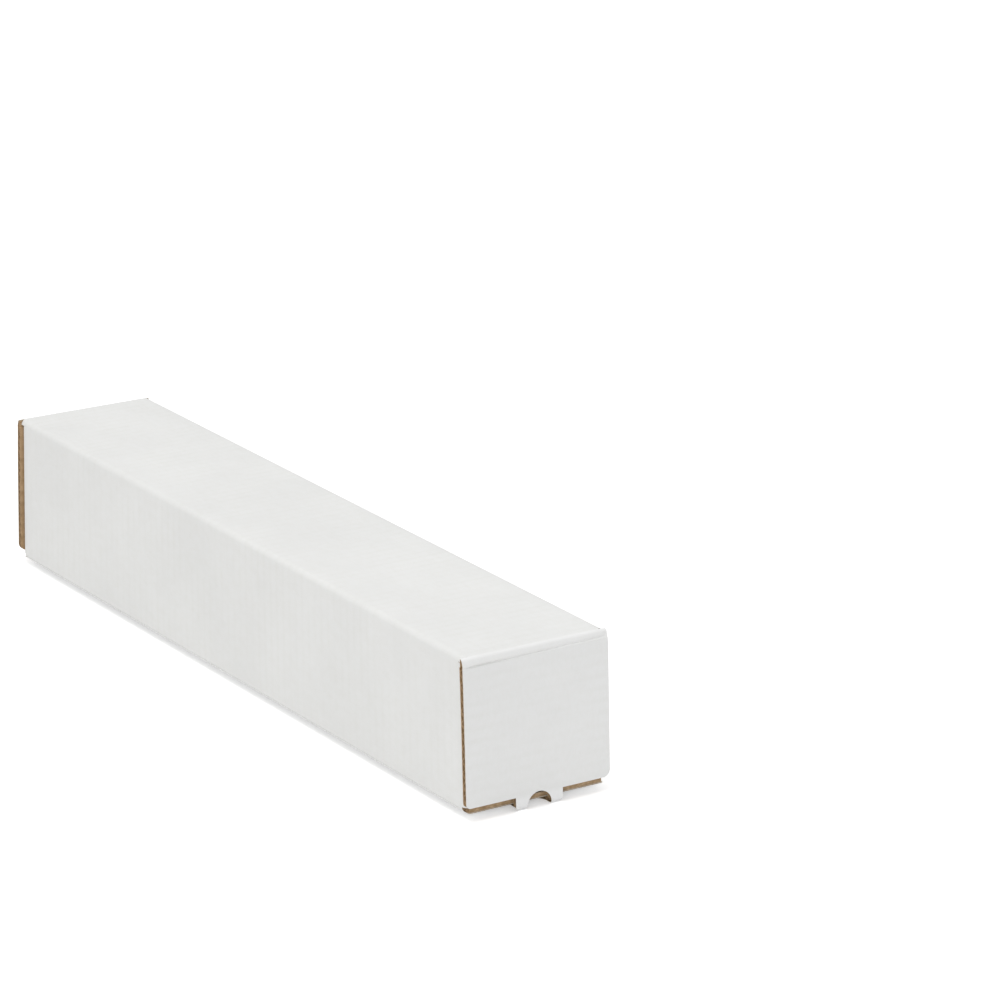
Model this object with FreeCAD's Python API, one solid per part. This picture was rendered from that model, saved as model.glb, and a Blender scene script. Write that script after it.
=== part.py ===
import FreeCAD, Part
import math
import os

# Square corrugated mailing tube, lying on its bottom panel with both end flaps tucked.
# X is the width, Y the length and Z the height, in millimetres. The near end points to -Y.
# The origin is under the middle of the tube, on the surface that it lies on.

# Board
board = 3.0             # caliper of the corrugated sheet
liner = 0.35            # each of the two flat faces of the sheet
medium = 0.25           # the waved paper between them
flute_pitch = 6.5       # from one crest of the wave to the next
glue_line = 0.12        # thickness of the glue that holds a crest to its liner

# Tube, inside sizes
bore_width = 76.0
bore_height = 76.0
wall_length = 470.0     # from one folded end of the side walls to the other

# Folds
fold_radius = 2.4       # outside of a fold in the sheet
inner_radius = 0.5      # inside of a fold in the sheet
paper_gap = 0.3         # play between pieces of board that face each other

# Glue lap, inside the tube along the lower right fold
lap_width = 32.0
lap_end_gap = 2.0       # from the lap's ends to the dust flaps
lap_fold_rise = 0.2     # where the lap's fold lifts off the bottom panel
raw_edge_setback = 0.6  # bottom panel's cut edge, in from the right wall

# Dust flaps, folded in from the side walls
dust_reach = 33.0       # from the wall's outside to the flap's free edge
dust_edge_gap = 1.0     # to the panels above and below
dust_corner = 7.0       # rounding of the free corners

# End flaps
flap_overhang = 2.4     # past the side walls, on each side
shoulder_rise = 4.2     # flap's lower edge above the tube's underside
flap_corner = 4.0       # rounding of the lower corners
hinge_swing_gap = 0.3   # between the flap's round edge and the top panel's end
crush_zone = 4.6        # flattened board beside a fold, where no flute stays open

# Tuck tongue, which goes down past the bottom panel's end and lies flat under it
tongue_width = 27.4
tongue_length = 18.0    # under the bottom panel
tongue_taper = 1.2      # drawn in on each side at the tip
tongue_corner = 5.0
notch_radius = 7.1      # thumb hole, cut across the tongue's fold
notch_rise = 0.9        # top of the thumb hole above the flap's lower edge
notch_reach = 12.0      # back edge of the thumb hole under the tube, from the flap's outside
slit_radius = 0.8       # where the tongue leaves the flap's lower edge

# Sizes that follow from those above
half_width = bore_width / 2 + board
half_length = wall_length / 2
underside = board + paper_gap
top = underside + 2 * board + bore_height
roof = top - board
lap_floor = underside + 2 * board

hinge_radius = board / 2
hinge_z = top - hinge_radius
hinge_y = half_length + hinge_swing_gap + hinge_radius
flap_inner_y = half_length + hinge_swing_gap
flap_outer_y = flap_inner_y + board
flap_half_width = half_width + flap_overhang
shoulder_z = underside + shoulder_rise
tongue_half = tongue_width / 2
tongue_tip_y = half_length - tongue_length
notch_z = shoulder_z + notch_rise - notch_radius
notch_y = flap_outer_y - notch_z
notch_back_y = flap_outer_y - notch_reach + notch_radius

overcut = 1.0           # how far a cutting shape runs past what it cuts

CENTRE = FreeCAD.Vector(0, 0, 0)
X_AXIS = FreeCAD.Vector(1, 0, 0)
Y_AXIS = FreeCAD.Vector(0, 1, 0)
Z_AXIS = FreeCAD.Vector(0, 0, 1)


def corner_cuts(before, corner, after, radius):
    """Where a rounded corner starts and ends on its two sides, and the middle of its arc."""
    to_before = (before - corner).normalize()
    to_after = (after - corner).normalize()
    half_angle = to_before.getAngle(to_after) / 2
    reach = radius / math.tan(half_angle)
    bisector = (to_before + to_after).normalize()
    centre = corner + bisector * (radius / math.sin(half_angle))
    return corner + to_before * reach, centre - bisector * radius, corner + to_after * reach


def rounded_face(corners, place):
    """A flat face from (u, v, radius) corners, put into space by the place function."""
    points = [place(u, v) for u, v, _ in corners]
    radii = [radius for _, _, radius in corners]
    edges = []
    ends = []
    for index, radius in enumerate(radii):
        corner = points[index]
        if radius > 0:
            following = points[(index + 1) % len(points)]
            start, middle, end = corner_cuts(points[index - 1], corner, following, radius)
            edges.append(Part.Arc(start, middle, end).toShape())
            ends.append((start, end))
        else:
            ends.append((corner, corner))
    for index, (_, end) in enumerate(ends):
        start_of_next = ends[(index + 1) % len(ends)][0]
        edges.append(Part.LineSegment(end, start_of_next).toShape())
    return Part.Face(Part.Wire(Part.__sortEdges__(edges)))


def across(y):
    """Places a section that is seen along the tube: u is X and v is Z."""
    return lambda u, v: FreeCAD.Vector(u, y, v)


def flat_on(z):
    """Places a plan outline: u is X and v is Y."""
    return lambda u, v: FreeCAD.Vector(u, v, z)


def block(x_low, x_high, y_low, y_high, z_low, z_high):
    """A box between two corners."""
    return Part.makeBox(x_high - x_low, y_high - y_low, z_high - z_low, FreeCAD.Vector(x_low, y_low, z_low))


def sleeve_section():
    """The wrapped sheet, seen along the tube: bottom, left wall, top, right wall and glue lap."""
    left = -half_width
    right = half_width
    raw_edge = right - raw_edge_setback
    seam = underside + board
    outside = [
        (raw_edge, underside, 0),
        (left, underside, fold_radius),
        (left, top, fold_radius),
        (right, top, fold_radius),
        (right, seam + lap_fold_rise, fold_radius),
        (right - 2 * fold_radius, seam + lap_fold_rise, 0),
        (right - 2 * fold_radius, seam, 0),
        (raw_edge, seam, 0),
    ]
    inside = [
        (left + board, seam, inner_radius),
        (left + board, roof, inner_radius),
        (right - board, roof, inner_radius),
        (right - board, lap_floor, inner_radius),
        (right - lap_width, lap_floor, 0),
        (right - lap_width, seam, 0),
    ]
    place = across(-half_length)
    return rounded_face(outside, place).cut(rounded_face(inside, place))


def wall_end_rounder(side, end):
    """Cuts the upright fold between a side wall and its dust flap round."""
    corner_x = side * half_width
    corner_y = end * half_length
    axis_x = corner_x - side * fold_radius
    axis_y = corner_y - end * fold_radius
    x_low, x_high = sorted((axis_x, corner_x + side * overcut))
    y_low, y_high = sorted((axis_y, corner_y + end * overcut))
    square = block(x_low, x_high, y_low, y_high, underside - overcut, roof)
    bar = Part.makeCylinder(fold_radius, roof - underside + 3 * overcut,
                            FreeCAD.Vector(axis_x, axis_y, underside - 2 * overcut), Z_AXIS)
    return square.cut(bar)


def lap_trimmer(end):
    """Takes the glue lap away where the right dust flap folds in."""
    reach = board + lap_end_gap
    y_low, y_high = sorted((end * (half_length - reach), end * (half_length + overcut)))
    return block(half_width - lap_width - overcut, half_width - board,
                 y_low, y_high, underside + board, lap_floor + overcut)


def dust_flap(side, end):
    """One flap folded in from the end of a side wall, with its free corners rounded."""
    low = underside + board + dust_edge_gap
    high = roof - dust_edge_gap
    root = side * (half_width - board / 2)
    tip = side * (half_width - dust_reach)
    corners = [
        (root, low, 0),
        (tip, low, dust_corner),
        (tip, high, dust_corner),
        (root, high, 0),
    ]
    start_y = half_length - board if end > 0 else -half_length
    return rounded_face(corners, across(start_y)).extrude(Y_AXIS * board)


def tube_body():
    """The folded sheet: a sleeve with a glue lap, and a dust flap on each end of each side wall."""
    sheet = sleeve_section().extrude(Y_AXIS * wall_length)
    ends = (-1, 1)
    sides = (-1, 1)
    sheet = sheet.cut([lap_trimmer(end) for end in ends])
    sheet = sheet.fuse([dust_flap(side, end) for side in sides for end in ends])
    sheet = sheet.cut([wall_end_rounder(side, end) for side in sides for end in ends])
    return sheet.removeSplitter()


def flap_front():
    """The part of an end flap that covers the end, down to its fold under the tube."""
    corners = [
        (-flap_half_width, hinge_z, 0),
        (-flap_half_width, shoulder_z, flap_corner),
        (-tongue_half, shoulder_z, slit_radius),
        (-tongue_half, 0, 0),
        (tongue_half, 0, 0),
        (tongue_half, shoulder_z, slit_radius),
        (flap_half_width, shoulder_z, flap_corner),
        (flap_half_width, hinge_z, 0),
    ]
    return rounded_face(corners, across(flap_inner_y)).extrude(Y_AXIS * board)


def flap_tongue():
    """The tongue's flat part, under the bottom panel."""
    tip_half = tongue_half - tongue_taper
    corners = [
        (-tongue_half, flap_outer_y, 0),
        (tongue_half, flap_outer_y, 0),
        (tip_half, tongue_tip_y, tongue_corner),
        (-tip_half, tongue_tip_y, tongue_corner),
    ]
    return rounded_face(corners, flat_on(0)).extrude(Z_AXIS * board)


def tongue_fold_rounder():
    """Rounds the outside of the fold between the flap's front and its tongue."""
    axis_y = flap_outer_y - fold_radius
    span = 2 * (tongue_half + overcut)
    start_x = -tongue_half - overcut
    square = block(start_x, start_x + span, axis_y, flap_outer_y + overcut, -overcut, fold_radius)
    bar = Part.makeCylinder(fold_radius, span + 2 * overcut,
                            FreeCAD.Vector(start_x - overcut, axis_y, fold_radius), X_AXIS)
    return square.cut(bar)


def thumb_hole():
    """The hole across the tongue's fold: half round in front, a longer slot underneath."""
    depth = board + 2 * overcut
    front = Part.makeCylinder(notch_radius, depth, FreeCAD.Vector(0, flap_inner_y - overcut, notch_z), Y_AXIS)
    slot = block(-notch_radius, notch_radius, notch_back_y, notch_y, -overcut, board + overcut)
    ends = [Part.makeCylinder(notch_radius, depth, FreeCAD.Vector(0, y, -overcut), Z_AXIS)
            for y in (notch_y, notch_back_y)]
    return [front, slot] + ends


def wave_arc():
    """Radius and half angle of the arcs that make up the fluted paper's middle line."""
    height = board - 2 * liner - medium
    quarter = flute_pitch / 4
    half_angle = 2 * math.atan2(height / 2, quarter)
    return quarter / math.sin(half_angle), half_angle


def tunnel_face():
    """Section of the space under one crest, with u along the wave and v from its liner up."""
    radius, half_angle = wave_arc()
    crest_v = board - liner - medium / 2 - radius
    trough_v = liner + medium / 2 + radius
    floor_v = liner + glue_line
    outer = radius + medium / 2
    inner = radius - medium / 2
    step = flute_pitch / 2
    foot_half = step - math.sqrt(outer ** 2 - (trough_v - floor_v) ** 2)
    foot_angle = math.asin((step - foot_half) / outer)
    mid_angle = (foot_angle + half_angle) / 2

    def on_trough(side, angle):
        return FreeCAD.Vector(0, side * (step - outer * math.sin(angle)), trough_v - outer * math.cos(angle))

    def on_crest(side):
        return FreeCAD.Vector(0, side * inner * math.sin(half_angle), crest_v + inner * math.cos(half_angle))

    crown = FreeCAD.Vector(0, 0, crest_v + inner)
    edges = [
        Part.LineSegment(on_trough(-1, foot_angle), on_trough(1, foot_angle)).toShape(),
        Part.Arc(on_trough(1, foot_angle), on_trough(1, mid_angle), on_trough(1, half_angle)).toShape(),
        Part.LineSegment(on_trough(1, half_angle), on_crest(1)).toShape(),
        Part.Arc(on_crest(1), crown, on_crest(-1)).toShape(),
        Part.LineSegment(on_crest(-1), on_trough(-1, half_angle)).toShape(),
        Part.Arc(on_trough(-1, half_angle), on_trough(-1, mid_angle), on_trough(-1, foot_angle)).toShape(),
    ]
    return Part.Face(Part.Wire(edges))


def tunnel_row(first, last, half_span):
    """Every tunnel of the fluting from first to last along the wave, each second one turned over."""
    step = flute_pitch / 2
    count = int((last - first) / step) - 1
    start = (first + last - (count - 1) * step) / 2
    tunnels = []
    for index in range(count):
        section = tunnel_face()
        if index % 2:
            section.rotate(FreeCAD.Vector(0, 0, board / 2), X_AXIS, 180)
        section.translate(FreeCAD.Vector(-half_span, start + index * step, 0))
        tunnels.append(section.extrude(X_AXIS * 2 * half_span))
    return tunnels


def front_tunnels():
    """Fluting of the flap's front, which runs across it and opens at both side edges."""
    rows = tunnel_row(shoulder_z, hinge_z - crush_zone, flap_half_width + overcut)
    for tunnel in rows:
        tunnel.rotate(CENTRE, X_AXIS, 90)
        tunnel.translate(Y_AXIS * (flap_inner_y + board))
    return rows


def tongue_tunnels():
    """Fluting of the tongue, which opens at the tongue's side edges."""
    return tunnel_row(tongue_tip_y, flap_inner_y - board, tongue_half + overcut)


def end_flap():
    """The flap of the far end: a round hinge edge, a fluted front, and a tongue folded under."""
    knuckle = Part.makeCylinder(hinge_radius, 2 * flap_half_width,
                                FreeCAD.Vector(-flap_half_width, hinge_y, hinge_z), X_AXIS)
    sheet = flap_front().fuse([flap_tongue(), knuckle])
    sheet = sheet.cut([tongue_fold_rounder()] + thumb_hole()).removeSplitter()
    return sheet.cut(front_tunnels() + tongue_tunnels())


def save(name, shape):
    shape.exportStep(os.path.join("parts", name + ".step"))
    print(name, "valid", shape.isValid(), "solids", len(shape.Solids), "volume", round(shape.Volume, 1))


os.makedirs("parts", exist_ok=True)
far_flap = end_flap()
near_flap = far_flap.copy()
near_flap.rotate(CENTRE, Z_AXIS, 180)
save("tube_body", tube_body())
save("far_end_flap", far_flap)
save("near_end_flap", near_flap)
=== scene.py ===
import bpy
import bmesh
import math
from mathutils import Matrix, Vector, noise


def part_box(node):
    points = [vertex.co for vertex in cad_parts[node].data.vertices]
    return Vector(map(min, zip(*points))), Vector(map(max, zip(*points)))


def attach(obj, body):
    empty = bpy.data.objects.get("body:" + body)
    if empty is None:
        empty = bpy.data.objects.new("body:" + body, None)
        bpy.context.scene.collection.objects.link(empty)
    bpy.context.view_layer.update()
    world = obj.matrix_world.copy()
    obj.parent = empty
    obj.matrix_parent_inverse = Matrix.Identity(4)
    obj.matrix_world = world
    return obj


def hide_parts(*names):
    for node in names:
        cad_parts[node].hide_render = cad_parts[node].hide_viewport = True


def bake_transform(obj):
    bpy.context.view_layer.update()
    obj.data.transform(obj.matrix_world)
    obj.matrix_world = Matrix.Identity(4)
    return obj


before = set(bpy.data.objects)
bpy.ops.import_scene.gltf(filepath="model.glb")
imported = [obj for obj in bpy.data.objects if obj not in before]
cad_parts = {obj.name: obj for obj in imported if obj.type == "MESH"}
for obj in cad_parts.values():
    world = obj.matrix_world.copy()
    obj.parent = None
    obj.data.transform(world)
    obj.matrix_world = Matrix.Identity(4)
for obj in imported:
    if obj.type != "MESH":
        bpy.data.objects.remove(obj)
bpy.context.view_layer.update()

mm = 0.001
quarterTurn = math.pi / 2

bodyLow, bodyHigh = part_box("tube_body")
flapLow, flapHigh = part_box("far_end_flap")
wallX = bodyHigh.x              # outside of a side wall
endY = bodyHigh.y               # folded end of the side walls
undersideZ = bodyLow.z
topZ = bodyHigh.z
faceY = flapHigh.y              # outside of a closed end flap
tongueTipY = flapLow.y
middleZ = (undersideZ + topZ) / 2

board = {
    "caliper": 3.0 * mm,
    "liner": 0.35 * mm,         # each flat face of the board
    "medium": 0.22 * mm,        # the waved paper between them
    "flutePitch": 6.5 * mm,
    "ridge": 0.055 * mm,        # how far a liner sinks between two flutes
    "lean": 1.05 * mm,          # how far the ends are pushed out of square
}


def newObject(name, bm, materials):
    mesh = bpy.data.meshes.new(name)
    bm.to_mesh(mesh)
    bm.free()
    for material in materials:
        mesh.materials.append(material)
    piece = bpy.data.objects.new(name, mesh)
    bpy.context.scene.collection.objects.link(piece)
    return piece


def applyModifiers(piece):
    depsgraph = bpy.context.evaluated_depsgraph_get()
    finished = bpy.data.meshes.new_from_object(piece.evaluated_get(depsgraph))
    piece.modifiers.clear()
    piece.data = finished
    return piece


def shadeSmooth(piece, angle=35):
    piece.data.polygons.foreach_set("use_smooth", [True] * len(piece.data.polygons))
    piece.data.set_sharp_from_angle(angle=math.radians(angle))
    piece.data.update()


def thicken(piece, thickness, inner, rim):
    solid = piece.modifiers.new("boardThickness", "SOLIDIFY")
    solid.thickness = thickness
    solid.offset = -1
    solid.material_offset = inner
    solid.material_offset_rim = rim
    return applyModifiers(piece)


def smoothStep(low, high, value):
    t = min(1.0, max(0.0, (value - low) / (high - low)))
    return t * t * (3 - 2 * t)


def waves(place, size, seed):
    return noise.noise(Vector(place) / size + Vector((seed, 2.3 * seed, 0.7 * seed)))


def setFluteAttribute(piece, values):
    attribute = piece.data.attributes.new("fluteTravel", "FLOAT", "POINT")
    attribute.data.foreach_set("value", values)


def lean(co):
    share = co.y / endY         # the near end leans one way and the far end the other
    return Vector((co.x + board["lean"] * share * (co.z - middleZ) / wallX, co.y, co.z))


def shaderTree(name):
    material = bpy.data.materials.new(name)
    material.use_nodes = True
    tree = material.node_tree
    return material, tree, tree.nodes["Principled BSDF"]


def addNode(tree, kind, settings=None, **inputs):
    node = tree.nodes.new(kind)
    for key, value in (settings or {}).items():
        setattr(node, key, value)
    for key, value in inputs.items():
        node.inputs[key.replace("_", " ")].default_value = value
    return node


def stretchedNoise(tree, stretch, scale, detail=3.0, roughness=0.6):
    coords = addNode(tree, "ShaderNodeTexCoord")
    mapping = addNode(tree, "ShaderNodeMapping", Scale=stretch)
    texture = addNode(tree, "ShaderNodeTexNoise", Scale=scale, Detail=detail, Roughness=roughness)
    tree.links.new(coords.outputs["Object"], mapping.inputs["Vector"])
    tree.links.new(mapping.outputs["Vector"], texture.inputs["Vector"])
    return texture.outputs["Fac"]


def shadeBetween(tree, factor, low, high, dark, light):
    ramp = addNode(tree, "ShaderNodeValToRGB")
    ramp.color_ramp.elements[0].position = low
    ramp.color_ramp.elements[1].position = high
    ramp.color_ramp.elements[0].color = (*dark, 1)
    ramp.color_ramp.elements[1].color = (*light, 1)
    tree.links.new(factor, ramp.inputs["Fac"])
    return ramp.outputs["Color"]


def multiplied(tree, first, second, amount=1.0):
    mix = addNode(tree, "ShaderNodeMix", {"data_type": "RGBA", "blend_type": "MULTIPLY"})
    if isinstance(amount, float):
        mix.inputs["Factor"].default_value = amount
    else:
        tree.links.new(amount, mix.inputs["Factor"])
    tree.links.new(first, mix.inputs["A"])
    tree.links.new(second, mix.inputs["B"])
    return mix.outputs["Result"]


def bumped(tree, shader, height, strength, distance):
    bump = addNode(tree, "ShaderNodeBump", Strength=strength, Distance=distance)
    tree.links.new(height, bump.inputs["Height"])
    tree.links.new(bump.outputs["Normal"], shader.inputs["Normal"])


def glueLines(tree):
    travel = addNode(tree, "ShaderNodeAttribute", {"attribute_name": "fluteTravel"})
    turns = addNode(tree, "ShaderNodeMath", {"operation": "MULTIPLY"})
    turns.inputs[1].default_value = 2 * math.pi / board["flutePitch"]
    wave = addNode(tree, "ShaderNodeMath", {"operation": "COSINE"})
    share = addNode(tree, "ShaderNodeMapRange", From_Min=-1, From_Max=1)
    tree.links.new(travel.outputs["Fac"], turns.inputs[0])
    tree.links.new(turns.outputs[0], wave.inputs[0])
    tree.links.new(wave.outputs[0], share.inputs["Value"])
    return share.outputs["Result"]


paper = {
    "cloudRange": (0.35, 0.65),
    "fleckRange": (0.30, 0.62),
    "lineRange": (0.05, 0.55),
    "patchScale": 34.0,         # patches where the glue lines show more or less
    "patchLow": (0.1, 0.1, 0.1),
    "grainHeight": 0.08 * mm,
    "white": (1, 1, 1),
}


def linerMaterial(name, colours):
    material, tree, shader = shaderTree(name)
    cloud = stretchedNoise(tree, (1, 1, 1), colours["cloudScale"], 3.0)
    fibre = stretchedNoise(tree, colours["fibreStretch"], colours["fibreScale"], 4.0, 0.7)
    fine = stretchedNoise(tree, (1, 1, 1), colours["grainScale"], 2.0)
    base = shadeBetween(tree, cloud, *paper["cloudRange"], colours["dark"], colours["light"])
    fleck = shadeBetween(tree, fibre, *paper["fleckRange"], colours["fleck"], paper["white"])
    speckled = multiplied(tree, base, fleck, colours["fleckAmount"])
    lines = shadeBetween(tree, glueLines(tree), *paper["lineRange"], colours["glueLine"], paper["white"])
    patches = stretchedNoise(tree, (1, 1, 1), paper["patchScale"], 2.0)
    patchy = shadeBetween(tree, patches, *paper["cloudRange"], paper["patchLow"], paper["white"])
    lined = multiplied(tree, speckled, lines, patchy)
    # the fold attribute blends in a lighter colour: painted highlight on the end flaps' top fold and painted
    # floor-bounce light on their legs
    foldLightShare = addNode(tree, "ShaderNodeAttribute", {"attribute_name": "paintedFoldLight"})
    litFold = addNode(tree, "ShaderNodeMix", {"data_type": "RGBA", "clamp_factor": True})
    litFold.inputs["B"].default_value = (*colours["litFold"], 1)
    tree.links.new(foldLightShare.outputs["Fac"], litFold.inputs["Factor"])
    tree.links.new(lined, litFold.inputs["A"])
    tree.links.new(litFold.outputs["Result"], shader.inputs["Base Color"])
    rough = addNode(tree, "ShaderNodeMapRange", To_Min=colours["rough"][0], To_Max=colours["rough"][1])
    tree.links.new(fine, rough.inputs["Value"])
    tree.links.new(rough.outputs["Result"], shader.inputs["Roughness"])
    shader.inputs["Specular IOR Level"].default_value = colours["gloss"]
    bumped(tree, shader, fine, colours["grainBump"], paper["grainHeight"])
    return material


# the last colour of each look is painted light, put on the end flaps' top fold as a painted highlight and on
# their legs as painted light from the floor
whiteLook = {
    "dark": (0.790, 0.792, 0.780), "light": (0.822, 0.824, 0.812), "fleck": (0.955, 0.950, 0.935),
    "cloudScale": 16.0, "fibreStretch": (1, 0.35, 0.6), "fibreScale": 420.0, "grainScale": 1500.0,
    "fleckAmount": 0.5, "rough": (0.62, 0.80), "gloss": 0.25, "grainBump": 0.25,
    "glueLine": (0.985, 0.985, 0.98), "litFold": (0.865, 0.865, 0.858),
}
brownLook = {
    "dark": (0.430, 0.290, 0.165), "light": (0.520, 0.360, 0.215), "fleck": (0.80, 0.76, 0.70),
    "cloudScale": 22.0, "fibreStretch": (1, 0.3, 0.6), "fibreScale": 520.0, "grainScale": 1300.0,
    "fleckAmount": 0.7, "rough": (0.75, 0.92), "gloss": 0.15, "grainBump": 0.5,
    "glueLine": (0.90, 0.89, 0.87), "litFold": (0.470, 0.325, 0.190),
}
edgeLook = {
    "dark": (0.400, 0.280, 0.165), "light": (0.600, 0.440, 0.280), "fleck": (0.62, 0.55, 0.48),
    "cloudScale": 260.0, "fibreStretch": (0.25, 1, 1), "fibreScale": 900.0, "grainScale": 2100.0,
    "fleckAmount": 0.8, "rough": (0.85, 0.95), "gloss": 0.10, "grainBump": 0.8,
    "glueLine": (1, 1, 1), "litFold": (0.500, 0.360, 0.220),
}
creamLook = {
    "dark": (0.600, 0.530, 0.430), "light": (0.740, 0.690, 0.600), "fleck": (0.84, 0.80, 0.74),
    "cloudScale": 180.0, "fibreStretch": (1, 1, 1), "fibreScale": 900.0, "grainScale": 2100.0,
    "fleckAmount": 0.6, "rough": (0.80, 0.92), "gloss": 0.12, "grainBump": 0.6,
    "glueLine": (1, 1, 1), "litFold": (0.680, 0.620, 0.530),
}
whiteLiner = linerMaterial("whiteLiner", whiteLook)
brownLiner = linerMaterial("brownLiner", brownLook)
cutEdge = linerMaterial("cutEdge", edgeLook)
creamEdge = linerMaterial("creamEdge", creamLook)
print("materials ready")


# the folded sheet: sleeve, glue lap and dust flaps
sheetLook = {
    "foldRadius": 3.0 * mm,
    "foldSegments": 6,
    "thickness": 2.9 * mm,
    "samplesPerFlute": 8,
    "lapWidth": 32.0 * mm,
    "lapEndGap": 5.0 * mm,
    "lapRise": 0.2 * mm,
    "rawEdgeSetback": 0.6 * mm,
    "dustReach": 33.0 * mm,
    "dustGap": 0.25 * mm,       # from a dust flap to the panel above or below it
    "dustCorner": 7.0 * mm,
    "dustCorners": 6,
    "cornerOut": 0.5 * mm,      # where the upper folds stop, past the walls' ends
    "footRise": 1.0 * mm,       # how much of the left foot's fold runs on under the end
    "footCorner": 2.2 * mm,
    "bulge": 0.35 * mm,         # how far the walls stand out of flat
    "foldFade": 7.0 * mm,       # from a long fold to the panel's full relief
    "endFade": 5.0 * mm,
    "ridgeWaves": (17.0 * mm, 8.2),         # size and seed
    "bulgeWaves": ((90.0 * mm, 1.7), (28.0 * mm, 4.1)),
    "edgeDepth": 0.7 * mm,      # how deep the core lies behind the liners at a cut edge
    "edgeRagged": 0.25 * mm,
    "edgeWaves": (1.6 * mm, 9.0),
    "stripInset": 2.9 * mm,     # from a wall's outside to the strip that carries the end flap
    "panelCell": 7.6 * mm,
    "dustSteps": 8,
    "footSteps": 3,
    "dustInset": 3.5 * mm,      # from the tube's underside and top to where only a dust flap runs on
}


def edgesWhere(bm, test):
    return [edge for edge in bm.edges if all(test(vert.co) for vert in edge.verts)]


def sleeveSurface(look):
    bm = bmesh.new()
    seamZ = undersideZ + board["caliper"] + look["lapRise"]
    startY = -(endY - look["foldRadius"])
    corners = [
        (wallX - look["rawEdgeSetback"], undersideZ), (-wallX, undersideZ), (-wallX, topZ),
        (wallX, topZ), (wallX, seamZ), (wallX - look["lapWidth"], seamZ),
    ]
    verts = [bm.verts.new((x, startY, z)) for x, z in corners]
    edges = [bm.edges.new(pair) for pair in zip(verts, verts[1:])]
    grown = bmesh.ops.extrude_edge_only(bm, edges=edges)["geom"]
    moved = [item for item in grown if isinstance(item, bmesh.types.BMVert)]
    bmesh.ops.translate(bm, verts=moved, vec=(0, -2 * startY, 0))
    folds = [edge for edge in bm.edges if len(edge.link_faces) == 2]
    bmesh.ops.bevel(bm, geom=folds, offset=look["foldRadius"], affect="EDGES",
                    segments=look["foldSegments"], profile=0.5, material=-1)
    for edges, cuts in panelCuts(bm, look):
        bmesh.ops.subdivide_edges(bm, edges=edges, cuts=cuts, use_grid_fill=True)
    lower = undersideZ + board["caliper"] + look["dustGap"]
    upper = topZ - board["caliper"] - look["dustGap"]
    for height in (lower, upper):
        bmesh.ops.bisect_plane(bm, geom=bm.verts[:] + bm.edges[:] + bm.faces[:],
                               plane_co=(0, 0, height), plane_no=(0, 0, 1), dist=1e-7)
    along = [edge for edge in bm.edges if abs(edge.verts[0].co.y - edge.verts[1].co.y) > endY]
    cuts = round(-2 * startY / board["flutePitch"] * look["samplesPerFlute"]) - 1
    bmesh.ops.subdivide_edges(bm, edges=along, cuts=cuts, use_grid_fill=True)
    return bm, lower, upper


def panelCuts(bm, look):
    wide = [edge for edge in bm.edges if abs(edge.verts[0].co.y - edge.verts[1].co.y) < mm
            and edge.calc_length() > 10 * mm]
    groups = {}
    for edge in wide:
        middle = (edge.verts[0].co + edge.verts[1].co) / 2
        groups.setdefault((round(middle.x / mm), round(middle.z / mm)), []).append(edge)
    lengths = {place: edges[0].calc_length() for place, edges in groups.items()}
    return [(edges, max(3, round(lengths[place] / look["panelCell"]) - 1)) for place, edges in groups.items()]


def extrudeOut(bm, edges, step, times):
    for _ in range(times):
        grown = bmesh.ops.extrude_edge_only(bm, edges=edges)["geom"]
        verts = [item for item in grown if isinstance(item, bmesh.types.BMVert)]
        edges = [item for item in grown if isinstance(item, bmesh.types.BMEdge)]
        bmesh.ops.translate(bm, verts=verts, vec=step)
    return edges


def endEdges(bm, end, look, test):
    limit = endY - look["foldRadius"]
    return [edge for edge in edgesWhere(bm, lambda co: co.y * end > limit - 1e-6 and test(co))
            if len(edge.link_faces) == 1]


def foldDustFlap(bm, side, end, look, lower, upper):
    radius = look["foldRadius"]
    edges = endEdges(bm, end, look, lambda co: co.x * side > wallX - 1e-6
                     and lower - 1e-6 < co.z < upper + 1e-6)
    verts = list({vert for edge in edges for vert in edge.verts})
    turned = bmesh.ops.spin(bm, geom=verts + edges, cent=(side * (wallX - radius), end * (endY - radius), 0),
                            axis=(0, 0, side * end), angle=quarterTurn, steps=look["foldSegments"])
    last = [item for item in turned["geom_last"] if isinstance(item, bmesh.types.BMEdge)]
    reach = look["dustReach"] - radius
    before = set(bm.faces)
    extrudeOut(bm, last, (-side * reach / look["dustSteps"], 0, 0), look["dustSteps"])
    flap = [face for face in bm.faces if face not in before]
    roundCorners(bm, flap, side, look, lower, upper)


def roundCorners(bm, faces, side, look, lower, upper):
    radius = look["dustCorner"]
    tipX = side * (wallX - look["dustReach"])
    inward = Vector((-side, 0, 0))
    for sign, height in ((-1, lower), (1, upper)):
        centre = Vector((tipX + side * radius, 0, height - sign * radius))
        faces = cutArc(bm, faces, centre, radius, inward, Vector((0, 0, sign)), look["dustCorners"])


def cutArc(bm, faces, centre, radius, first, second, steps):
    for index in range(steps):
        angle = quarterTurn * (index + 0.5) / steps
        normal = first * math.cos(angle) + second * math.sin(angle)
        faces = [face for face in faces if face.is_valid]
        verts = {vert for face in faces for vert in face.verts}
        edges = {edge for face in faces for edge in face.edges}
        cut = bmesh.ops.bisect_plane(bm, geom=list(verts) + list(edges) + faces, dist=0.04 * mm,
                                     plane_co=centre + normal * radius, plane_no=normal, clear_outer=True)
        faces = list({item for item in cut["geom"] if isinstance(item, bmesh.types.BMFace)})
    return faces


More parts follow.
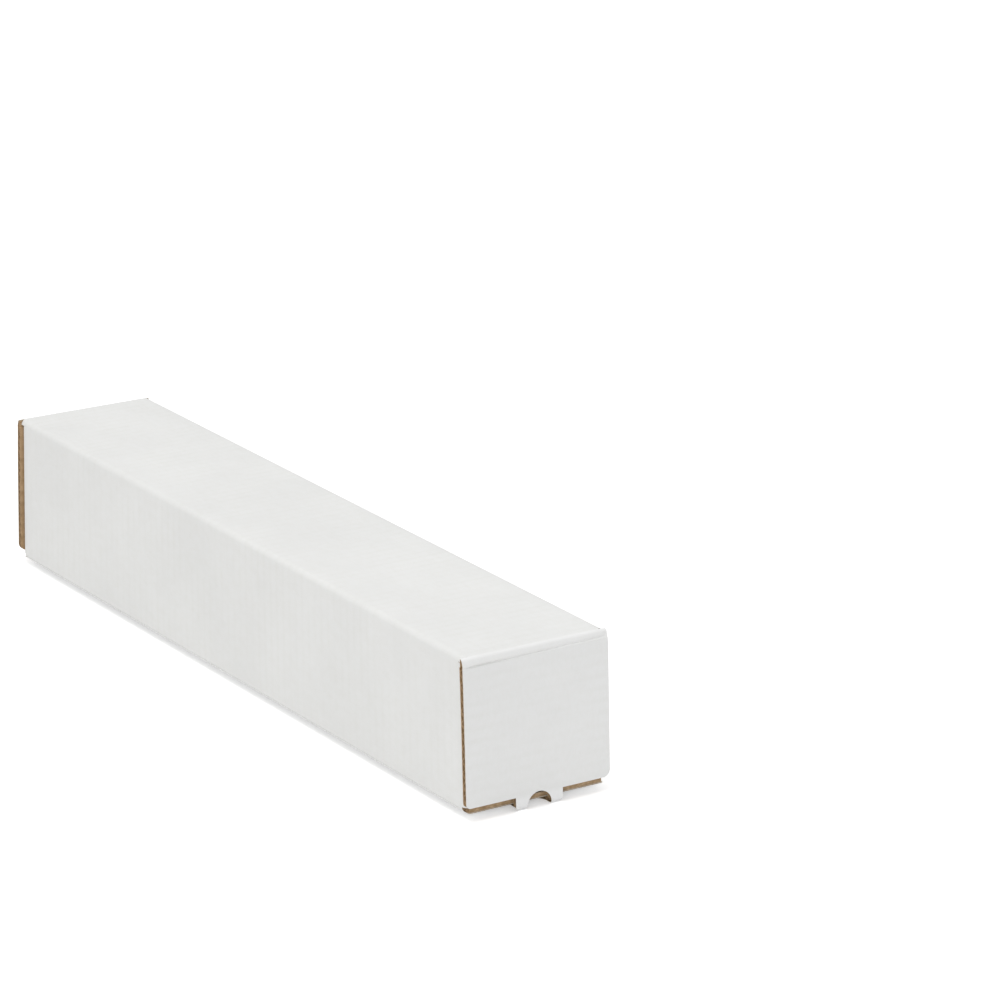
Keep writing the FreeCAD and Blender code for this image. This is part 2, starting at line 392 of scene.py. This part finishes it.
def footPanel(bm, end, look):
    # the bottom panel and part of its fold run on to the end of the walls
    foldEdges = endEdges(bm, end, look, lambda co: co.z < undersideZ + look["footRise"]
                         and co.x < wallX - 0.1 * mm)
    before = set(bm.faces)
    steps = look["footSteps"]
    extrudeOut(bm, foldEdges, (0, end * look["foldRadius"] / steps, 0), steps)
    radius = look["footCorner"]
    centre = Vector((wallX - look["rawEdgeSetback"] - radius, end * (endY - radius), 0))
    cutArc(bm, [face for face in bm.faces if face not in before], centre, radius,
           Vector((1, 0, 0)), Vector((0, end, 0)), 4)


def trimLap(bm, look):
    limit = endY - look["lapEndGap"]
    inner = wallX - look["foldRadius"] - 1e-6
    seamZ = undersideZ + board["caliper"]
    gone = []
    for face in bm.faces:
        middle = face.calc_center_median()
        low = seamZ - mm < middle.z < seamZ + mm
        if low and abs(middle.x) < inner and abs(middle.y) > limit and middle.x > wallX - look["lapWidth"]:
            gone.append(face)
    bmesh.ops.delete(bm, geom=gone, context="FACES")


def sheetRelief(bm, look):
    pitch = board["flutePitch"]
    inset = look["foldRadius"]
    for vert in bm.verts:
        co = vert.co
        side = abs(co.x) > wallX - 1e-6
        flat = side or co.z > topZ - 1e-6 or co.z < undersideZ + 1e-6
        if not flat or abs(co.y) > endY - inset:
            continue
        across = abs(co.z - middleZ) if side else abs(co.x)
        mask = smoothStep(0, look["foldFade"], wallX - inset - across)
        mask *= smoothStep(0, look["endFade"], endY - inset - abs(co.y))
        sink = board["ridge"] * (0.5 - 0.5 * math.cos(2 * math.pi * co.y / pitch))
        sink *= 0.75 + 0.9 * waves(co, *look["ridgeWaves"])
        large, small = [waves(co, size, seed) for size, seed in look["bulgeWaves"]]
        slow = 0.5 + 0.5 * large + 0.25 * small
        if side:
            push = look["bulge"] * slow - sink
            outward = Vector((math.copysign(1, co.x), 0, 0))
        else:
            push = -look["bulge"] * slow - sink
            outward = Vector((0, 0, 1 if co.z > middleZ else -1))
        vert.co = co + outward * push * mask


def underFlapStrip(face, look):
    middle = face.calc_center_median()      # the top panel's end, which the end flap's strip carries on
    return middle.z > topZ - board["caliper"] - mm and abs(middle.x) < wallX - look["stripInset"]


def recessCutEdges(piece, look):
    bm = bmesh.new()
    bm.from_mesh(piece.data)
    rim = [face for face in bm.faces if face.material_index == 2 and not underFlapStrip(face, look)]
    bmesh.ops.inset_region(bm, faces=rim, thickness=board["liner"], depth=-look["edgeDepth"],
                           use_boundary=True, use_even_offset=False)
    for face in rim:
        face.material_index = 3
    for face in bm.faces:
        if face.material_index == 2 and underFlapStrip(face, look):
            face.material_index = 0
    for vert in {vert for face in rim for vert in face.verts}:
        vert.co += vert.normal * look["edgeRagged"] * waves(vert.co, *look["edgeWaves"])
    bm.to_mesh(piece.data)
    bm.free()


def sheetTravel(co, look):
    onDustFlap = abs(co.y) > endY - look["foldRadius"] and abs(co.z - middleZ) < wallX - look["dustInset"]
    return co.y + math.copysign(max(0.0, wallX - abs(co.x)), co.y) if onDustFlap else co.y


def foldedSheet(look):
    bm, lower, upper = sleeveSurface(look)
    radius = look["foldRadius"]
    for end in (-1, 1):
        footPanel(bm, end, look)
        corners = endEdges(bm, end, look, lambda co: co.z > topZ - radius - 1e-6
                           and abs(co.x) > wallX - radius - 1e-6)
        extrudeOut(bm, corners, (0, end * (radius + look["cornerOut"]) / 2, 0), 2)
        for side in (-1, 1):
            seat = lower if side < 0 else undersideZ + board["caliper"] + look["lapRise"] + radius
            foldDustFlap(bm, side, end, look, seat, upper)
    trimLap(bm, look)
    sheetRelief(bm, look)
    topFace = max(bm.faces, key=lambda face: face.calc_center_median().z)
    if topFace.normal.z < 0:
        bmesh.ops.reverse_faces(bm, faces=bm.faces[:])
    bm.normal_update()
    piece = newObject("foldedSheet", bm, [whiteLiner, brownLiner, creamEdge, cutEdge])
    thicken(piece, look["thickness"], 1, 2)
    recessCutEdges(piece, look)
    setFluteAttribute(piece, [sheetTravel(vert.co, look) for vert in piece.data.vertices])
    for vert in piece.data.vertices:
        vert.co = lean(vert.co)
    shadeSmooth(piece)
    return piece


sheet = foldedSheet(sheetLook)
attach(sheet, "tube")
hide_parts("tube_body")
print("folded sheet ready,", len(sheet.data.polygons), "faces")


# the end flaps are cut flat, then folded
flapLook = {
    "startY": endY - 3.6 * mm,  # where the flap's strip starts, inside the top panel
    "roll": (1.9 * mm, 74),     # the fold along the top edge: radius, degrees
    "slope": 2.9 * mm,          # from there down to the crease
    "crease": (2.0 * mm, 16),
    "tongueRadius": 2.4 * mm,
    "stripHalf": wallX - 2.95 * mm,
    "shoulder": 4.2 * mm,       # lower edge above the tube's underside
    "tongueHalf": 13.7 * mm,
    "tongueCorner": 5.0 * mm,
    "legCorner": 2.8 * mm,      # rounding of the tongue's sides at its fold
    "legStep": 2.8 * mm,
    "legShare": 0.75,           # how far round the tongue's fold the legs keep their width
    "foldBefore": 0.6 * mm,     # middle of the crushed top fold, before its roll ends
    "hole": 7.1 * mm,
    "holeRise": 0.8 * mm,       # thumb hole's middle above the fold's
    "holeReach": 12.0 * mm,     # its back edge, from the flap's outside
    "holeFlare": 0.3 * mm,      # wider underneath
    "cellAcross": 0.95 * mm,
    "skin": 0.02 * mm,          # the liner's ridges stay this far inside the box
    "ridgeShare": 0.6,          # of the board's ridge
    "ridgeFade": 6.0 * mm,
    "warp": 0.12 * mm,
    "warpFade": 10.0 * mm,
    "creaseDepth": 0.34 * mm,
    "creaseStep": 0.9 * mm,
    "creaseTail": 12.0 * mm,
    "creaseFrom": 0.4 * mm,     # the crease runs from this side of its middle to the other
    "creaseRun": 1.3 * mm,
    "creaseWander": 0.2 * mm,
    "groove": 0.95 * mm,        # the crease's own line, pressed into the outer liner
    "grooveWidth": 0.5 * mm,
    "grooveRows": (-11, 7, 0.27 * mm),      # first and last row of cuts at the crease, and their spacing
    "crush": {"topFold": (0.36, 1.6 * mm, 4.6 * mm), "tongueFold": (0.30, 1.8 * mm, 5.0 * mm)},
    "highlightBefore": 0.9 * mm,     # middle of the painted highlight line, before the top fold
    "highlightWidth": 1.1 * mm,
    # painted light on the tongue's legs, standing in for light bounced up from the floor: amount, and its
    # fade before and after the shoulder
    "legBounceLight": (0.9, 1.0 * mm, 2.5 * mm),
    "dent": 0.9 * mm,
    "dentReach": (1.5 * mm, 7.0 * mm),
}


def foldPath(look):
    rollRadius, rollAngle = look["roll"]
    creaseRadius, creaseAngle = look["crease"]
    rollAngle, creaseAngle = math.radians(rollAngle), math.radians(creaseAngle)
    reach = rollRadius * math.sin(rollAngle) + look["slope"] * math.cos(rollAngle)
    reach += creaseRadius * (1 - math.sin(rollAngle))
    drop = rollRadius * (1 - math.cos(rollAngle)) + look["slope"] * math.sin(rollAngle)
    drop += creaseRadius * math.cos(rollAngle)
    under = faceY - look["tongueRadius"] - tongueTipY
    pieces = [                  # length and turn of each run of board, from the top panel to the tongue's tip
        (faceY - reach - look["startY"], 0.0), (rollRadius * rollAngle, rollAngle), (look["slope"], 0.0),
        (creaseRadius * creaseAngle, creaseAngle), (topZ - drop - look["tongueRadius"], 0.0),
        (quarterTurn * look["tongueRadius"], quarterTurn), (under, 0.0),
    ]
    runs = []
    travel, y, z, heading = 0.0, look["startY"], topZ, 0.0
    for length, turn in pieces:
        runs.append((travel, length, turn, y, z, heading))
        y, z = pathStep(y, z, heading, length, turn, 1.0)
        travel, heading = travel + length, heading + turn
    return runs, travel


def pathStep(y, z, heading, length, turn, share):
    if turn == 0:
        return y + length * share * math.cos(heading), z - length * share * math.sin(heading)
    radius = length / turn
    later = heading + turn * share
    y += radius * (math.sin(later) - math.sin(heading))
    z += radius * (math.cos(later) - math.cos(heading))
    return y, z


def foldPoint(runs, travel, depth):
    start, length, turn, y, z, heading = [run for run in runs if run[0] <= travel + 1e-9][-1]
    share = (travel - start) / length
    y, z = pathStep(y, z, heading, length, turn, share)
    heading += turn * share
    return y - depth * math.sin(heading), z - depth * math.cos(heading)


def foldMarks(look):
    runs, length = foldPath(look)
    return {
        "runs": runs, "length": length, "slit": runs[1][0],
        "topFold": runs[2][0] - look["foldBefore"],
        "crease": runs[3][0] + runs[3][1] / 2, "frontStart": runs[4][0], "tongueStart": runs[5][0],
        "tongueFold": runs[5][0] + runs[5][1] / 2, "legEnd": runs[5][0] + look["legShare"] * runs[5][1],
        "holeBack": runs[6][0] + look["holeReach"] - look["tongueRadius"] - look["hole"],
        "shoulder": runs[5][0] + look["tongueRadius"] - undersideZ - look["shoulder"],
    }


def flatBlank(look, marks, cellAlong, cellAcross, fine):
    at = foldMarks(look)
    sides = marks["sides"]
    length = at["length"]
    width = sides[-1] + sides[1]
    bm = bmesh.new()
    bmesh.ops.create_grid(bm, x_segments=round(width / cellAcross), y_segments=round(length / cellAlong),
                          size=0.5)
    bmesh.ops.scale(bm, verts=bm.verts[:], vec=(width, length, 1))
    bmesh.ops.translate(bm, verts=bm.verts[:], vec=((sides[1] - sides[-1]) / 2, length / 2, 0))
    tipHalf = look["tongueHalf"] - look["legStep"]
    cutLines = [((side * x, 0, 0), (1, 0, 0)) for side in (-1, 1)
                for x in (look["stripHalf"], look["tongueHalf"], tipHalf)]
    cutLines += [((0, at[place], 0), (0, 1, 0)) for place in ("slit", "shoulder", "legEnd")]
    first, last, spacing = look["grooveRows"]
    cutLines += [((0, at["crease"] + row * spacing, 0), (0, 1, 0)) for row in range(first, last) if fine]
    for place, normal in cutLines:
        bmesh.ops.bisect_plane(bm, geom=bm.verts[:] + bm.edges[:] + bm.faces[:],
                               plane_co=place, plane_no=normal, dist=1e-6)
    outside = []
    for face in bm.faces:
        middle = face.calc_center_median()
        pastStrip = middle.y < at["slit"] and abs(middle.x) > look["stripHalf"]
        pastTongue = middle.y > at["shoulder"] and abs(middle.x) > look["tongueHalf"]
        pastLeg = middle.y > at["legEnd"] and abs(middle.x) > tipHalf
        if pastStrip or pastTongue or pastLeg:
            outside.append(face)
    bmesh.ops.delete(bm, geom=outside, context="FACES")
    cutHole(bm, at, look, cellAcross)
    for side in (-1, 1):
        corners = [(sides[side], at["shoulder"], marks["corners"][side]),
                   (look["tongueHalf"], at["legEnd"], look["legCorner"]),
                   (tipHalf, length, look["tongueCorner"])]
        for x, y, radius in corners:
            cutRound(bm, Vector((side * (x - radius), y - radius, 0)), radius, (side, 1), cellAcross)
    for side, radius in marks["ears"]:
        centre = Vector((side * (sides[side] - radius), at["slit"] + radius, 0))
        cutRound(bm, centre, radius, (side, -1), cellAcross)
    return bm, at


def cutHole(bm, at, look, cell):
    front, back = at["tongueFold"] - look["holeRise"], at["holeBack"]

    def reach(co):
        middle = Vector((0, min(back, max(front, co.y)), 0))
        return middle, look["hole"] + look["holeFlare"] * smoothStep(front, front + 3 * mm, co.y)

    gone = []
    for face in bm.faces:
        centre = face.calc_center_median()
        middle, radius = reach(centre)
        if (centre - middle).length < radius:
            gone.append(face)
    bmesh.ops.delete(bm, geom=gone, context="FACES")
    for vert in bm.verts:
        middle, radius = reach(vert.co)
        offset = vert.co - middle
        if vert.is_boundary and abs(offset.length - radius) < cell:
            vert.co = middle + offset * radius / offset.length


def cutRound(bm, centre, radius, quadrant, cell):
    def reached(co):
        offset = co - centre
        return offset.x * quadrant[0] > 0 and offset.y * quadrant[1] > 0

    gone = []
    for face in bm.faces:
        offset = face.calc_center_median() - centre
        if reached(centre + offset) and offset.length > radius and max(abs(offset.x), abs(offset.y)) < radius:
            gone.append(face)
    bmesh.ops.delete(bm, geom=gone, context="FACES")
    for vert in bm.verts:
        offset = vert.co - centre
        if vert.is_boundary and reached(vert.co) and abs(offset.length - radius) < cell:
            vert.co = centre + offset * radius / offset.length


def crushed(travel, look, at):
    left = 1.0
    for fold, (amount, near, far) in look["crush"].items():
        left -= amount * (1 - smoothStep(near, far, abs(travel - at[fold])))
    return left


def creaseLine(x, look, at, marks):
    # share is 0 at the edge where the crease is deepest
    share = min(1.0, max(0.0, 0.5 + marks["side"] * x / (2 * wallX)))
    wander = look["creaseWander"] * waves((x, 0, 0), 9 * mm, marks["seed"])
    return share, at["crease"] + look["creaseFrom"] - look["creaseRun"] * share + wander


def flapRelief(x, travel, look, at, marks):
    front, back = at["frontStart"], at["tongueStart"]

    def inFace(fade):
        return smoothStep(front, front + fade, travel) * (1 - smoothStep(back - fade, back, travel))

    ridge = look["ridgeShare"] * board["ridge"]
    ridge *= 0.5 - 0.5 * math.cos(2 * math.pi * travel / board["flutePitch"])
    ridge *= inFace(look["ridgeFade"])
    share, creaseAt = creaseLine(x, look, at, marks)
    crease = look["creaseDepth"] * (1 - 0.8 * smoothStep(0.25, 0.75, share))
    crease *= smoothStep(creaseAt - look["creaseStep"], creaseAt, travel)
    crease *= 1 - smoothStep(creaseAt, creaseAt + look["creaseTail"], travel)
    warp = look["warp"] * (0.5 + waves((x, travel, 0), 30 * mm, marks["seed"] + 3)) * inFace(look["warpFade"])
    return ridge + crease + max(0.0, warp) + cornerDent(x, travel, look, at, marks)


def creaseGroove(x, travel, look, at, marks):
    share, creaseAt = creaseLine(x, look, at, marks)
    pressed = 0.45 + 0.55 * (1 - smoothStep(0.08, 0.35, share))
    pressed += 0.2 * waves((x, 0, 0), 14 * mm, marks["seed"] + 5)
    pressed *= smoothStep(0.0, 0.04, share) * (1 - smoothStep(0.94, 1.0, share))
    return look["groove"] * pressed * math.exp(-((travel - creaseAt) / look["grooveWidth"]) ** 2)


# painted light: a lighter colour along the top fold's roll stands in for its highlight, and on the tongue
# past the shoulder for light bounced up from the floor
def paintedFoldLight(x, travel, look, at, marks):
    patch = 0.65 + 0.7 * waves((x, 0, 0), 12 * mm, marks["seed"] + 17)
    away = travel - at["topFold"] + look["highlightBefore"]
    roll = max(0.0, patch) * math.exp(-(away / look["highlightWidth"]) ** 2)
    amount, before, after = look["legBounceLight"]
    return roll + amount * smoothStep(at["shoulder"] - before, at["shoulder"] + after, travel)


def cornerDent(x, travel, look, at, marks):
    dent = 0.0
    for side, size in marks["dents"]:
        away = Vector((x - side * marks["sides"][side], travel - at["topFold"])).length
        fade = 1 - smoothStep(*look["dentReach"], away)
        rough = 0.55 + 0.45 * waves((x, travel, 0), 2.2 * mm, marks["seed"] + 11)
        dent += size * look["dent"] * fade * rough
    return dent


def foldedLayer(name, look, marks, depthAt, cellAlong, cellAcross, thickness, materials):
    bm, at = flatBlank(look, marks, cellAlong, cellAcross, materials[0] == whiteLiner)
    travelLayer = bm.verts.layers.float.new("fluteTravel")
    foldLightLayer = bm.verts.layers.float.new("paintedFoldLight")
    for vert in bm.verts:
        x, travel = vert.co.x, vert.co.y
        vert[travelLayer] = travel
        # painted highlight on the top fold and painted floor light on the legs, kept for the material
        vert[foldLightLayer] = paintedFoldLight(x, travel, look, at, marks)
        depth = depthAt(travel) * crushed(travel, look, at) + look["skin"]
        depth += flapRelief(x, travel, look, at, marks)
        depth += creaseGroove(x, travel, look, at, marks) * (1 - 0.8 * depthAt(travel) / board["caliper"])
        y, z = foldPoint(at["runs"], travel, depth)
        vert.co = Vector((x, y, z))
    bm.normal_update()
    front = max(bm.faces, key=lambda face: face.calc_center_median().y)
    if front.normal.y < 0:
        bmesh.ops.reverse_faces(bm, faces=bm.faces[:])
    piece = newObject(name, bm, materials)
    return thicken(piece, thickness, 1, 2)


def fluteDepth(travel):
    swing = board["caliper"] / 2 - board["liner"] - board["medium"] / 2
    phase = 2 * math.pi * travel / board["flutePitch"]
    return board["caliper"] / 2 - board["medium"] / 2 + swing * math.cos(phase)


def endFlap(name, end, look, marks):
    along = board["flutePitch"] / 8
    outer = foldedLayer(name, look, marks, lambda travel: 0.0, along, look["cellAcross"],
                        board["liner"], [whiteLiner, brownLiner, creamEdge])
    flutes = foldedLayer(name + "Flutes", look, marks, fluteDepth, along * 0.75, look["cellAcross"] * 2,
                         board["medium"], [brownLiner, brownLiner, cutEdge])
    inner = foldedLayer(name + "Inner", look, marks, lambda travel: board["caliper"] - board["liner"], along,
                        look["cellAcross"] * 2, board["liner"], [brownLiner, brownLiner, cutEdge])
    bm = bmesh.new()
    shared = [whiteLiner, brownLiner, creamEdge, cutEdge]
    for layer in (outer, flutes, inner):
        slots = [shared.index(material) for material in layer.data.materials]
        for polygon in layer.data.polygons:
            polygon.material_index = slots[polygon.material_index]
        bm.from_mesh(layer.data)
        bpy.data.objects.remove(layer)
    if end < 0:
        bmesh.ops.rotate(bm, verts=bm.verts[:], cent=(0, 0, 0), matrix=Matrix.Rotation(math.pi, 3, "Z"))
    for vert in bm.verts:
        vert.co = lean(vert.co)
    piece = newObject(name, bm, shared)
    shadeSmooth(piece, 40)
    return piece


# the crease is deepest at the flat blank's +X edge where side is -1, and at its -X edge where it is 1
nearMarks = {"seed": 5.0, "side": -1, "dents": [(-1, 1.0), (1, 0.25)],
             "sides": {-1: wallX + 0.9 * mm, 1: wallX + 1.3 * mm},      # turned round, so 1 is the left edge
             "corners": {-1: 4.0 * mm, 1: 2.4 * mm}, "ears": []}
farMarks = {"seed": 12.0, "side": 1, "dents": [(1, 0.3), (-1, 0.2)],
            "sides": {-1: wallX + 1.3 * mm, 1: wallX + 0.5 * mm},
            "corners": {-1: 4.0 * mm, 1: 3.4 * mm}, "ears": [(1, 3.2 * mm)]}
for name, end, marks, node, body in (("nearFlapBoard", -1, nearMarks, "near_end_flap", "near_flap"),
                                     ("farFlapBoard", 1, farMarks, "far_end_flap", "far_flap")):
    flap = endFlap(name, end, flapLook, marks)
    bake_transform(flap)
    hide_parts(node)
    print(name, "ready,", len(flap.data.polygons), "faces")


studio = {
    "floorSize": 8.0,
    "floorColour": 0.90,
    "floorGlow": 0.42,          # seen by the camera alone, so that the floor reads as white
    "worldLevel": 0.70,
    "worldColour": (1.0, 1.0, 1.0),
}


def whiteForCamera(tree, lighting, seen, output):
    path = addNode(tree, "ShaderNodeLightPath")
    first = addNode(tree, "ShaderNodeMath", {"operation": "MAXIMUM"})
    second = addNode(tree, "ShaderNodeMath", {"operation": "MAXIMUM"})
    mix = addNode(tree, "ShaderNodeMixShader")
    tree.links.new(path.outputs["Is Camera Ray"], first.inputs[0])
    tree.links.new(path.outputs["Is Glossy Ray"], first.inputs[1])
    tree.links.new(first.outputs[0], second.inputs[0])
    tree.links.new(path.outputs["Is Transmission Ray"], second.inputs[1])
    tree.links.new(second.outputs[0], mix.inputs["Fac"])
    tree.links.new(lighting, mix.inputs[1])
    tree.links.new(seen, mix.inputs[2])
    tree.links.new(mix.outputs[0], output)


def whiteWorld(look):
    world = bpy.data.worlds.new("studioWorld")
    world.use_nodes = True
    tree = world.node_tree
    lighting = tree.nodes["Background"]
    lighting.inputs["Color"].default_value = (*look["worldColour"], 1)
    lighting.inputs["Strength"].default_value = look["worldLevel"]
    seen = addNode(tree, "ShaderNodeBackground", Color=(1, 1, 1, 1), Strength=1.0)
    whiteForCamera(tree, lighting.outputs[0], seen.outputs[0], tree.nodes["World Output"].inputs["Surface"])
    bpy.context.scene.world = world


def whiteFloor(look):
    bm = bmesh.new()
    bmesh.ops.create_grid(bm, x_segments=1, y_segments=1, size=look["floorSize"] / 2)
    material = bpy.data.materials.new("studioFloor")
    material.use_nodes = True
    tree = material.node_tree
    tree.nodes.remove(tree.nodes["Principled BSDF"])
    plain = addNode(tree, "ShaderNodeBsdfDiffuse", Color=(*[look["floorColour"]] * 3, 1))
    glow = addNode(tree, "ShaderNodeEmission", Strength=look["floorGlow"])
    lifted = addNode(tree, "ShaderNodeAddShader")
    tree.links.new(plain.outputs[0], lifted.inputs[0])
    tree.links.new(glow.outputs[0], lifted.inputs[1])
    whiteForCamera(tree, plain.outputs[0], lifted.outputs[0], tree.nodes["Material Output"].inputs["Surface"])
    floor = newObject("studioFloor", bm, [material])


def softLamp(name, place, aim, size, power, colour):
    lamp = bpy.data.lights.new(name, "AREA")
    lamp.shape = "DISK"
    lamp.size = size
    lamp.energy = power
    lamp.color = colour
    lampObject = bpy.data.objects.new(name, lamp)
    lampObject.location = place
    lampObject.rotation_euler = (Vector(aim) - Vector(place)).to_track_quat("-Z", "Y").to_euler()
    bpy.context.scene.collection.objects.link(lampObject)


lamps = {
    "keyLamp": {"place": (-0.5, -0.2, 2.2), "aim": (0, 0, 0), "size": 1.2, "power": 15,
                "colour": (1.0, 1.0, 1.0)},
    "sideLamp": {"place": (-1.7, -1.8, 0.7), "aim": (0, -0.2, 0.04), "size": 0.5, "power": 6.1,
                 "colour": (1.0, 0.995, 0.985)},
    "endLamp": {"place": (0.9, -2.2, 0.6), "aim": (0, -0.2, 0.04), "size": 0.8, "power": 1.8,
                "colour": (0.70, 0.76, 1.0)},
}
shot = {
    "azimuth": -32.69,
    "elevation": 17.80,
    "distance": 2.3594,
    "focalPixels": 4441.0,      # of a picture 1000 pixels wide
    "picture": 1000.0,
    "aim": (0, 0, 42 * mm),
    "aimPixel": (292.8, 593.4),
}


def photoCamera(look):
    azimuth = math.radians(look["azimuth"])
    elevation = math.radians(look["elevation"])
    back = Vector((math.sin(azimuth) * math.cos(elevation), -math.cos(azimuth) * math.cos(elevation),
                   math.sin(elevation)))
    right = Vector((math.cos(azimuth), math.sin(azimuth), 0))
    up = back.cross(right)
    scale = look["distance"] / look["focalPixels"]
    half = look["picture"] / 2
    sideways = (look["aimPixel"][0] - half) * scale
    upwards = (half - look["aimPixel"][1]) * scale
    data = bpy.data.cameras.new("photoCamera")
    data.sensor_width = 36
    data.lens = look["focalPixels"] / look["picture"] * data.sensor_width
    data.clip_end = 50
    camera = bpy.data.objects.new("photoCamera", data)
    camera.matrix_world = Matrix.Translation(
        Vector(look["aim"]) + back * look["distance"] - right * sideways - up * upwards
    ) @ Matrix((right, up, back)).transposed().to_4x4()
    bpy.context.scene.collection.objects.link(camera)
    bpy.context.scene.camera = camera


whiteWorld(studio)
whiteFloor(studio)
for name, lamp in lamps.items():
    softLamp(name, **lamp)
photoCamera(shot)
bpy.context.scene.view_settings.view_transform = "Standard"
print("studio ready")
